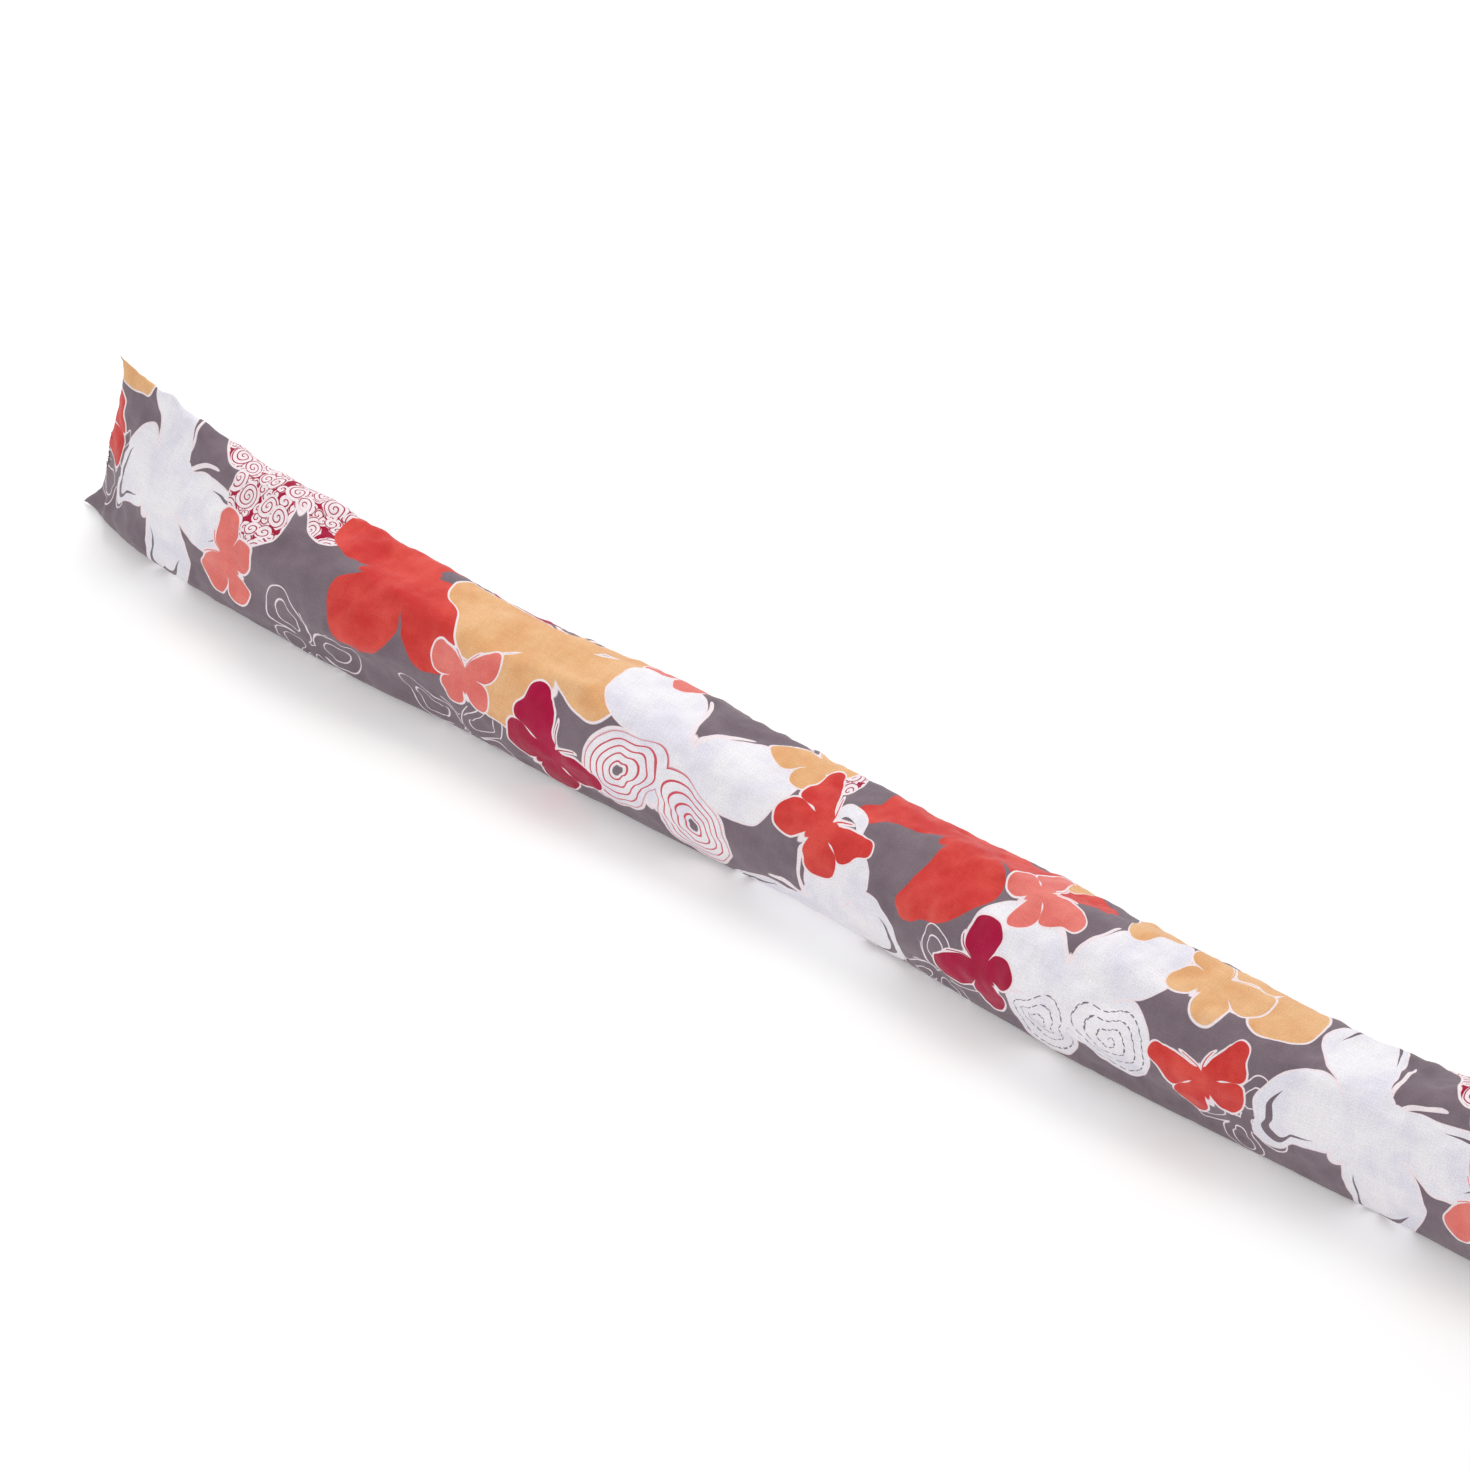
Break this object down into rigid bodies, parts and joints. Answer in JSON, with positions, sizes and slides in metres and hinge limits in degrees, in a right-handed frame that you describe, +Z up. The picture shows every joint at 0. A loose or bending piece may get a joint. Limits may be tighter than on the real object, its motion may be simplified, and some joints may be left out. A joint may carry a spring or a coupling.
{
  "type": "draught excluder",
  "caption": "Long fibre-filled tube of printed cotton, sewn flat across both ends, that lies along the foot of a door to keep draughts out.",
  "frame": {"origin": "on the floor, under the middle of the part's box", "axes": "+X along the tube, +Z up from the floor, -Y the side that faces the room"},
  "size_m": [1.2, 0.0884, 0.122],
  "materials": {
    "printed_cotton": "matt printed plain-weave cotton, butterflies on warm grey"
  },
  "bodies": {
    "root": {"filled_tube": "printed_cotton"}
  },
  "joints": []
}
